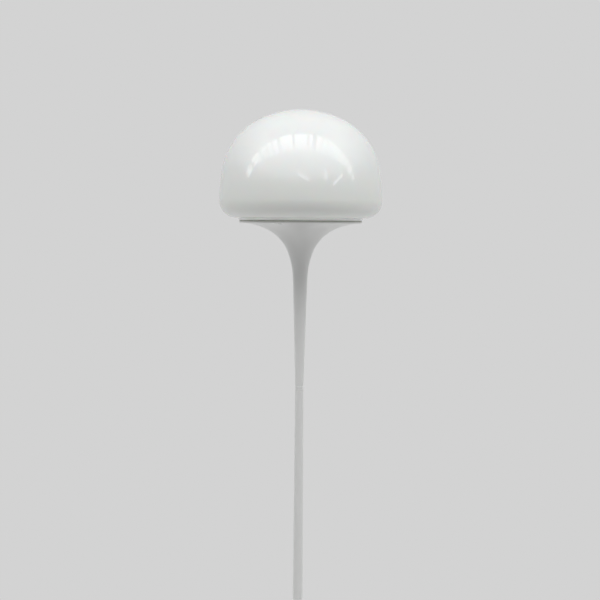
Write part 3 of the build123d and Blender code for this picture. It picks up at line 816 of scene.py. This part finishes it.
# ---------------------------------------------------------------- the head under the dome
def pan_screws(name, node, places, head_radius, head_height, up):
    """Slotted pan-head screws that stand for a node; up is 1 or -1, the way their shanks point."""
    bottom, top = low(node), high(node)
    face = bottom if up > 0 else top
    shank, flat, edge = head_radius * 0.53, head_radius * 0.7, head_height * 0.4
    slot, slot_depth = 0.8 * MM, 0.7 * MM
    bm = bmesh.new()
    slots = bmesh.new()
    for x, y in places:
        single = bmesh.new()
        draw_loop(single, (0, 0), (flat, 0), (head_radius, edge), (head_radius, head_height),
                  (shank, head_height), (shank, top - bottom), (0, top - bottom))
        spin_round(single, SMALL_STEPS)
        soften(single, 0.15 * MM)
        if up < 0:
            place(single, Matrix.Rotation(math.pi, 4, "X"))
        place(single, Matrix.Translation((x, y, face)))
        absorb(bm, single)
        block(slots, (slot, 3 * head_radius, 2 * slot_depth), (x, y, face))
    carve(bm, slots)
    finish_piece(bm, name, node)


def make_top_plate(form):
    """Pressed plate with a raised middle and a turned-down edge inside the rim."""
    outer = radius("top_plate")
    bend = reach(form.boss_bend, 0, -form.boss_slope)
    flank = (form.boss_rise + 2 * bend[1]) / sin(form.boss_slope)
    flank_reach = 2 * bend[0] + flank * cos(form.boss_slope)
    hem = high("neck_trumpet") - form.hem_bend - low("top_plate")
    moves = [
        (form.boss_radius - form.rod_hole,),
        (form.boss_bend, -form.boss_slope),
        (flank,),
        (form.boss_bend, 0),
        (outer - form.hem_bend - form.boss_radius - flank_reach,),
        (form.hem_bend, -90),
        (hem,),
    ]
    start = (form.rod_hole, high("top_plate"))
    spin_sheet("pressed_plate", "top_plate", start, 0, moves, -form.plate_sheet, 0.25 * MM)


def make_locating_ring(form):
    """Rolled angle ring that keeps the dome's opening in the middle."""
    bottom, top = low("locating_ring"), high("locating_ring")
    moves = [(form.ring_foot - form.ring_bend,), (form.ring_bend, 90), (top - bottom - form.ring_bend,)]
    start = (radius("locating_ring") - form.ring_foot, bottom)
    spin_sheet("angle_ring", "locating_ring", start, 0, moves, form.plate_sheet, 0.3 * MM)


def make_gasket():
    play = 0.5 * MM
    bore = radius("locating_ring") + play
    outline = drum(radius("shade_gasket"), low("shade_gasket"), high("shade_gasket"), bore)
    turn_piece("rubber_ring", "shade_gasket", outline, 0.5 * MM, segments=3)


def make_plate_nut(form):
    """Washer and hexagon nut that clamp the plate to the rod."""
    outline = drum(radius("plate_washer"), low("plate_washer"), high("plate_washer"), form.rod_hole)
    turn_piece("clamp_washer", "plate_washer", outline, 0.25 * MM, SMALL_STEPS)

    bm = bmesh.new()
    bottom, top = low("plate_nut"), high("plate_nut")
    rod(bm, 0, 0, radius("plate_nut"), bottom, top, 6)
    place(bm, Matrix.Rotation(math.pi / 6, 4, "Z"))
    bore = bmesh.new()
    rod(bore, 0, 0, form.rod_hole, bottom - MM, top + MM)
    carve(bm, bore)
    soften(bm, 0.35 * MM, angle=25.0)
    finish_piece(bm, "hexagon_nut", "plate_nut")


def make_ring_screws():
    """The four screws of the locating ring."""
    head, head_height = 2.8 * MM, 1.9 * MM
    circle = (radius("locating_ring_screws") - head) / cos(45)
    places = circle_places(circle, 4, 45.0)
    pan_screws("ring_screws", "locating_ring_screws", places, head, head_height, up=-1)


# ---------------------------------------------------------------- the lampholder
def make_holder_cap(form):
    """Bell that sits on the rod."""
    base, top, outer = low("holder_cap"), high("holder_cap"), radius("holder_cap")
    inside, insert = outer - HOLDER_WALL, low("holder_insert")
    neck_radius, neck_height, skirt = 8.5 * MM, 7.5 * MM, 9.0 * MM
    ledge = radius("holder_insert") - 1.9 * MM
    rod_end = high("centre_rod")
    outline = [(form.rod_hole, base), (neck_radius, base), (neck_radius, base + neck_height),
               (outer, top - skirt), (outer, top), (inside, top), (inside, insert), (ledge, insert),
               (ledge, top - skirt - HOLDER_WALL), (form.rod_hole + HOLDER_WALL, rod_end),
               (form.rod_hole, rod_end)]
    turn_piece("holder_bell", "holder_cap", outline, 0.8 * MM, MIDDLE_STEPS, segments=3)


def make_holder_barrel():
    """Ribbed skirt that screws into the cap."""
    joint, top = high("holder_cap"), high("holder_barrel")
    insert_low, insert_top = low("holder_insert"), high("holder_insert")
    ribs, rib, rib_height, play = 4, 0.5 * MM, 2.4 * MM, 0.1 * MM
    pitch = (top - joint) / (ribs + 1)
    barrel = radius("holder_barrel") - rib
    thread = radius("holder_cap") - HOLDER_WALL - play
    pocket, bore = radius("holder_insert") + play, radius("holder_sleeve") + play
    outline = [(pocket, insert_low), (thread, insert_low), (thread, joint), (barrel, joint)]
    for i in range(ribs):
        middle = joint + pitch * (i + 1)
        for share, out in ((-0.5, 0), (-0.3, rib), (0.3, rib), (0.5, 0)):
            outline.append((barrel + out, middle + rib_height * share))
    outline += [(barrel, top), (bore, top), (bore, insert_top), (pocket, insert_top)]
    turn_piece("holder_skirt", "holder_barrel", outline, 0.25 * MM, MIDDLE_STEPS)


def make_holder_sleeve():
    outer, sheet = radius("holder_sleeve"), 0.5 * MM
    outline = drum(outer, low("holder_sleeve"), high("holder_sleeve"), outer - sheet)
    turn_piece("threaded_sleeve", "holder_sleeve", outline, 0.15 * MM, SLIM_STEPS)


# ---------------------------------------------------------------- the bulb
def make_globe(form):
    """Frosted globe, open at its seam."""
    middle, inner = (0, high("bulb_globe") - form.globe), form.globe - form.wall
    bm = bmesh.new()
    near = put(bm, ahead(middle, -form.seam_slope, form.globe))
    far = put(bm, ahead(middle, -form.seam_slope, inner))
    draw(bm, near, 90 - form.seam_slope, [(form.globe, 180)])
    draw(bm, far, 90 - form.seam_slope, [(inner, 180)])
    join(bm, near, far)
    spin_round(bm, MIDDLE_STEPS)
    soften(bm, 0.3 * MM)
    finish_piece(bm, "frosted_globe", "bulb_globe")


def make_bulb_body(form):
    """Body that widens from the cap up to the globe, with a ledge for the board."""
    seam, bottom, crest = low("bulb_globe"), high("bulb_screw_cap"), radius("bulb_screw_cap")
    leave = 90 - form.seam_slope
    across, upward = form.globe * cos(form.seam_slope) - crest, seam - bottom
    chord = math.degrees(math.atan2(upward, across))
    arc = math.hypot(across, upward) / (2 * sin(chord - leave))
    board, ledge, pocket = radius("led_board") + 0.1 * MM, 1.6 * MM, 11 * MM
    bm = bmesh.new()
    foot = put(bm, (crest, bottom))
    rim = draw(bm, foot, 2 * chord - leave, [(arc, leave)])
    inner = [put(bm, at) for at in ((board, seam), (board, seam - ledge), (pocket, seam - ledge),
                                    (pocket, bottom + form.wall), (0, bottom + form.wall))]
    for here, there in zip([rim] + inner, inner):
        join(bm, here, there)
    join(bm, foot, put(bm, (0, bottom)))
    spin_round(bm, MIDDLE_STEPS)
    soften(bm, 0.3 * MM)
    finish_piece(bm, "bulb_body", "bulb_housing")


def make_bulb_cap(form):
    """Pressed cap, and over it the ridge of its thread, wound in a helix that ends before the cap does."""
    bottom, top, crest = low("bulb_screw_cap"), high("bulb_screw_cap"), radius("bulb_screw_cap")
    root = crest - form.thread_depth
    sheet, sunk = 0.5 * MM, 0.3 * MM
    inner, buried = root - sheet, root - sunk
    flank = root + form.thread_depth * 0.7
    start, half = bottom + form.pitch / 2, form.pitch * 0.36
    thread_end = start + form.pitch * form.turns
    bm = bmesh.new()
    draw_loop(bm, (inner, bottom), (root, bottom), (root, thread_end),
              (crest, thread_end + form.thread_depth), (crest, top), (inner, top))
    spin_round(bm, SLIM_STEPS)
    soften(bm, 0.2 * MM)

    ridge = bmesh.new()
    draw_loop(ridge, (buried, start - half), (root, start - half), (flank, start - half / 2), (crest, start),
              (flank, start + half / 2), (root, start + half), (buried, start + half))
    wound, lift = form.turns - 0.75, form.pitch * 0.3
    steps = int(SMALL_STEPS * wound)
    bmesh.ops.spin(ridge, geom=ridge.verts[:] + ridge.edges[:], cent=(0, 0, 0), axis=(0, 0, 1),
                   dvec=(0, 0, form.pitch * wound / steps), angle=math.tau * wound, steps=steps)
    bmesh.ops.holes_fill(ridge, edges=[edge for edge in ridge.edges if edge.is_boundary])
    bmesh.ops.recalc_face_normals(ridge, faces=ridge.faces)
    place(ridge, Matrix.Translation((0, 0, lift)))
    absorb(bm, ridge)
    finish_piece(bm, "threaded_cap", "bulb_screw_cap")


# ---------------------------------------------------------------- under the foot
def make_felt():
    outer, width = radius("floor_felt"), 26 * MM
    outline = drum(outer, low("floor_felt"), high("floor_felt"), outer - width)
    turn_piece("felt_ring", "floor_felt", outline, 0.6 * MM, segments=3)


def make_base_plate():
    """Bottom plate with its three screws."""
    head, head_height, hole = 3.8 * MM, 1.3 * MM, 2.1 * MM
    places = circle_places(-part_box("base_plate_screws")[0].y - head, 3, -90.0)
    bottom, top = low("base_plate"), high("base_plate")
    bm = bmesh.new()
    draw_loop(bm, *drum(radius("base_plate"), bottom, top))
    spin_round(bm)
    soften(bm, 0.3 * MM)
    holes = bmesh.new()
    for x, y in places:
        rod(holes, x, y, hole, bottom - MM, top + MM)
    carve(bm, holes)
    finish_piece(bm, "bottom_plate", "base_plate")
    pan_screws("plate_screws", "base_plate_screws", places, head, head_height, up=1)


def make_gland(form):
    """Flanged bush round the cord inlet, turned about its own axis."""
    back, front = (corner.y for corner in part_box("cord_gland"))
    flange, step, bore = radius("cord_gland"), 0.7 * MM, 3.4 * MM
    body = flange - step
    foot = radius("base_bell")
    inside = foot - form.foot_sheet
    curve, collar = 0.2 * MM, 1.8 * MM
    bm = bmesh.new()
    draw_loop(bm, (bore, back), (body, back), (body, inside - collar), (flange, inside - collar),
              (flange, inside - curve), (body, inside - curve), (body, foot - curve), (flange, foot - curve),
              (flange, front), (bore, front))
    spin_round(bm, SMALL_STEPS)
    soften(bm, 0.35 * MM, segments=3)
    place(bm, Matrix.Rotation(-math.pi / 2, 4, "X"))
    place(bm, Matrix.Translation((0, 0, middle_height("cord_gland"))))
    finish_piece(bm, "inlet_bush", "cord_gland")


# ---------------------------------------------------------------- operators
class LAMP_OT_dome(bpy.types.Operator):
    """Turn the opal dome"""
    bl_idname = "floor_lamp.dome"
    bl_label = "Dome"

    def execute(self, context):
        make_dome(context.scene.lamp_shade)
        return {"FINISHED"}


class LAMP_OT_stand(bpy.types.Operator):
    """Turn the foot, the pole, its screwed ring and the trumpet"""
    bl_idname = "floor_lamp.stand"
    bl_label = "Stand"

    def execute(self, context):
        form = context.scene.lamp_stand
        make_foot(form)
        make_pole(form)
        make_couplers(form)
        make_trumpet(form)
        return {"FINISHED"}


class LAMP_OT_head(bpy.types.Operator):
    """Make the plate, gasket, locating ring and fastenings under the dome"""
    bl_idname = "floor_lamp.head"
    bl_label = "Head"

    def execute(self, context):
        form = context.scene.lamp_head
        make_top_plate(form)
        make_locating_ring(form)
        make_gasket()
        make_plate_nut(form)
        make_ring_screws()
        return {"FINISHED"}


class LAMP_OT_holder(bpy.types.Operator):
    """Turn the lampholder's mouldings and sleeve"""
    bl_idname = "floor_lamp.holder"
    bl_label = "Lampholder"

    def execute(self, context):
        make_holder_cap(context.scene.lamp_head)
        make_holder_barrel()
        make_holder_sleeve()
        return {"FINISHED"}


class LAMP_OT_bulb(bpy.types.Operator):
    """Make the globe, the body and the threaded cap of the bulb"""
    bl_idname = "floor_lamp.bulb"
    bl_label = "Bulb"

    def execute(self, context):
        form = context.scene.lamp_bulb
        make_globe(form)
        make_bulb_body(form)
        make_bulb_cap(form)
        return {"FINISHED"}


class LAMP_OT_underside(bpy.types.Operator):
    """Make the felt, the bottom plate, its screws and the cord inlet's bush"""
    bl_idname = "floor_lamp.underside"
    bl_label = "Underside"

    def execute(self, context):
        make_felt()
        make_base_plate()
        make_gland(context.scene.lamp_stand)
        return {"FINISHED"}


class LAMP_OT_inner_parts(bpy.types.Operator):
    """Give every construction part that still shows the finish of its slot"""
    bl_idname = "floor_lamp.inner_parts"
    bl_label = "Inner parts"

    def execute(self, context):
        for name, part in frame["nodes"].items():
            if part.hide_render:
                continue
            part.data.materials.clear()
            part.data.materials.append(finish_of(name))
        return {"FINISHED"}


class LAMP_OT_stage(bpy.types.Operator):
    """Set the surround, the pale floor, the overhead glazing and the camera"""
    bl_idname = "floor_lamp.stage"
    bl_label = "Stage"

    def execute(self, context):
        form = context.scene.lamp_stage
        make_surround(form)
        make_floor(form)
        make_glazing(form)
        make_camera(form)
        return {"FINISHED"}


# ---------------------------------------------------------------- stage
# Panes of the overhead glazing: left and right edge, then far and near edge down the slope from
# its ridge, all in metres, and share of its brightness.
PANES = [
    (-5.60, -3.60, 0.22, 0.87, 1.10), (-3.00, -1.85, 0.10, 0.86, 1.20), (-1.66, -1.30, 0.10, 0.85, 1.05),
    (-1.23, -1.02, 0.08, 0.85, 1.10), (-0.95, -0.75, 0.06, 0.84, 1.15), (-0.65, -0.255, 0.0, 0.80, 1.05),
    (-0.19, 0.18, 0.0, 0.80, 1.00), (0.23, 0.33, 0.0, 0.80, 0.95), (0.47, 0.62, 0.0, 0.80, 1.05),
    (0.69, 0.83, 0.04, 0.81, 1.10), (0.91, 1.05, 0.06, 0.82, 1.10), (1.14, 1.30, 0.10, 0.84, 1.15),
    (1.40, 1.64, 0.14, 0.86, 1.15), (1.78, 2.15, 0.22, 0.89, 1.20), (2.38, 2.90, 0.32, 0.93, 1.20),
    (3.25, 4.10, 0.45, 1.00, 1.20), (4.70, 5.70, 0.60, 1.05, 0.90),
]
FLOOR_LEVEL = -0.5 * MM             # a hair under the felt
FLOOR_REACH = 30.0
FLOOR_FADE = (0.35, 1.05)           # from the axis, where the floor goes over into the surround
SENSOR_WIDTH = 36.0                 # of the camera, in millimetres
GLAZING_RIDGE = (-0.37, 2.80)       # top edge of the glazing, as Y and height
GLAZING_SLOPE = 28.0                # degrees down towards the camera
GLAZING_DEPTH = 0.80                # of the panel that gives the panes' light, down the slope
GLAZING_SPAN = (-3.2, 4.6)          # of the same panel, left to right
# Far windows that show as faint marks on the dome: middle, size and tilt in degrees.
GLINTS = [
    ((0.30, -5.30, 2.80), (1.56, 0.28), -19.0),
    ((2.93, -4.15, 2.82), (0.50, 0.70), -10.0),
    ((5.45, -4.15, 2.78), (1.90, 0.30), 18.0),
]


def seen(finish):
    """1 for rays that show the surround: the camera's, and those seen in gloss or through glass."""
    rays = [finish.node("ShaderNodeLightPath", output=name)
            for name in ("Is Camera Ray", "Is Glossy Ray", "Is Transmission Ray")]
    return rays[0].most(rays[1]).most(rays[2])


def make_surround(form):
    """Plain surround; gloss also shows a pale wall behind the camera, and some sides give more light."""
    finish = Finish(bpy.data.worlds.new("surround"))
    bpy.context.scene.world = finish.owner
    up, towards = finish.axis("Z"), 0.0 - finish.axis("Y")
    gloss = finish.node("ShaderNodeLightPath", output="Is Glossy Ray")
    wall = finish.step(up, 0.14, 0.38) * (1 - finish.step(up, 0.78, 0.97)) * finish.step(towards, -0.5, 0.5)
    sky = finish.step(up, 0.62, 0.78) * (1 - finish.step(up, 0.86, 0.96)) * finish.step(towards, -0.3, 0.3)
    shown = wall * gloss * form.facing_wall + form.backdrop
    behind = (1 - finish.step(up, 0.30, 0.60)) * (1 - finish.step(towards, -0.3, 0.3))
    right = finish.step(finish.axis("X"), -0.7, 0.7)
    light = sky * form.sky + behind * form.wall_light + right * form.side_light + form.ambient
    shows = seen(finish)
    strength = shows * shown + (1 - shows) * light
    finish.end("ShaderNodeBackground", {"Color": (1.0, 1.0, 1.0, 1.0), "Strength": strength})


def make_floor(form):
    """Pale floor that keeps the shadow near the foot and fades into the surround.

    It is open under the felt and clear from below, so the underside can be looked at.
    """
    bm = bmesh.new()
    join(bm, put(bm, (radius("floor_felt") - MM, FLOOR_LEVEL)), put(bm, (FLOOR_REACH, FLOOR_LEVEL)))
    spin_round(bm)
    bm.normal_update()
    if bm.faces[:][0].normal.z < 0:
        bmesh.ops.reverse_faces(bm, faces=bm.faces)
    floor = to_object("floor", bm)
    bm.free()
    finish = Finish(bpy.data.materials.new("floor"))
    floor.data.materials.append(finish.owner)
    strength = seen(finish) * (form.backdrop - form.floor_glow) + form.floor_glow
    glow = finish.node("ShaderNodeEmission", None, {"Strength": strength})
    grain = finish.noise(3, 3)
    matt = finish.node("ShaderNodeBsdfDiffuse", None,
                       {"Color": finish.mix(grain, (0.68, 0.68, 0.675), (0.72, 0.72, 0.715))})
    away = finish.step(finish.from_axis(), *FLOOR_FADE)
    top = finish.node("ShaderNodeMixShader", None, {0: away, 1: matt, 2: glow})
    below = finish.node("ShaderNodeNewGeometry", output="Backfacing")
    finish.end("ShaderNodeMixShader", {0: below, 1: top, 2: finish.node("ShaderNodeBsdfTransparent")})


def hang_card(name, middle, size, turn, brightness):
    """Glowing card that shows only in gloss."""
    bm = bmesh.new()
    bmesh.ops.create_grid(bm, x_segments=1, y_segments=1, size=0.5)
    place(bm, Matrix.Translation(middle) @ turn @ Matrix.Diagonal((*size, 1, 1)))
    card = to_object(name, bm)
    bm.free()
    finish = Finish(bpy.data.materials.new(name))
    finish.end("ShaderNodeEmission", {"Strength": brightness})
    finish.owner.cycles.emission_sampling = "NONE"
    card.data.materials.append(finish.owner)
    for ray in ("camera", "diffuse", "transmission", "volume_scatter", "shadow"):
        setattr(card, "visible_" + ray, False)


def down_glazing(x, run):
    """The point of the glazing at x and so far down its slope."""
    ridge, top = GLAZING_RIDGE
    return (x, ridge - run * cos(GLAZING_SLOPE), top - run * sin(GLAZING_SLOPE))


def make_glazing(form):
    """Cards for the panes' reflections, and one lamp for their light."""
    turn = Matrix.Rotation(math.radians(GLAZING_SLOPE), 4, "X")
    for number, (left, right, far, near, share) in enumerate(PANES):
        middle = down_glazing((left + right) / 2, (far + near) / 2)
        hang_card(f"pane_{number}", middle, (right - left, near - far), turn, form.glazing * share)
    for number, (middle, size, tilt) in enumerate(GLINTS):
        aim = Vector((0, 0, low("shade"))) - Vector(middle)
        facing = aim.to_track_quat("-Z", "Y").to_matrix().to_4x4()
        hang_card(f"glint_{number}", middle, size, facing @ Matrix.Rotation(math.radians(tilt), 4, "Z"),
                  form.glazing)
    light = bpy.data.lights.new("glazing", "AREA")
    light.shape = "RECTANGLE"
    light.size, light.size_y = GLAZING_SPAN[1] - GLAZING_SPAN[0], GLAZING_DEPTH
    light.energy = form.key_light
    lamp = bpy.data.objects.new("glazing", light)
    lamp.matrix_world = Matrix.Translation(down_glazing(sum(GLAZING_SPAN) / 2, GLAZING_DEPTH / 2)) @ turn
    lamp.visible_camera = False
    lamp.visible_glossy = False
    bpy.context.scene.collection.objects.link(lamp)


def make_camera(form):
    data = bpy.data.cameras.new("camera")
    data.sensor_width = SENSOR_WIDTH
    data.lens = form.focal
    data.clip_end = 200.0
    camera = bpy.data.objects.new("camera", data)
    camera.matrix_world = (Matrix.Translation((0, -form.camera_distance, form.camera_height))
                           @ Matrix.Rotation(math.radians(90 + form.pitch), 4, "X")
                           @ Matrix.Rotation(math.radians(form.roll), 4, "Z"))
    bpy.context.scene.collection.objects.link(camera)
    bpy.context.scene.camera = camera
    bpy.context.scene.view_settings.view_transform = "Standard"


# ---------------------------------------------------------------- panel and registration
STEPS = ("dome", "stand", "head", "holder", "bulb", "underside", "inner_parts", "stage")


class LAMP_PT_builder(bpy.types.Panel):
    bl_label = "Floor Lamp"
    bl_space_type = "VIEW_3D"
    bl_region_type = "UI"
    bl_category = "Floor Lamp"

    def draw(self, context):
        for group in FORMS:
            box = self.layout.box()
            values = getattr(context.scene, group)
            for name in values.__annotations__:
                box.prop(values, name)
        for step in STEPS:
            self.layout.operator(f"floor_lamp.{step}")


FORMS = {"lamp_shade": ShadeForm, "lamp_stand": StandForm, "lamp_head": HeadForm, "lamp_bulb": BulbForm,
         "lamp_finishes": Finishes, "lamp_stage": StageForm}
CLASSES = (*FORMS.values(), LAMP_OT_dome, LAMP_OT_stand, LAMP_OT_head, LAMP_OT_holder, LAMP_OT_bulb,
           LAMP_OT_underside, LAMP_OT_inner_parts, LAMP_OT_stage, LAMP_PT_builder)


def register():
    for cls in CLASSES:
        bpy.utils.register_class(cls)
    for name, group in FORMS.items():
        setattr(bpy.types.Scene, name, PointerProperty(type=group))


def unregister():
    for name in FORMS:
        delattr(bpy.types.Scene, name)
    for cls in reversed(CLASSES):
        bpy.utils.unregister_class(cls)


def main():
    register()
    for step in STEPS:
        getattr(bpy.ops.floor_lamp, step)()


if __name__ == "__main__":
    main()
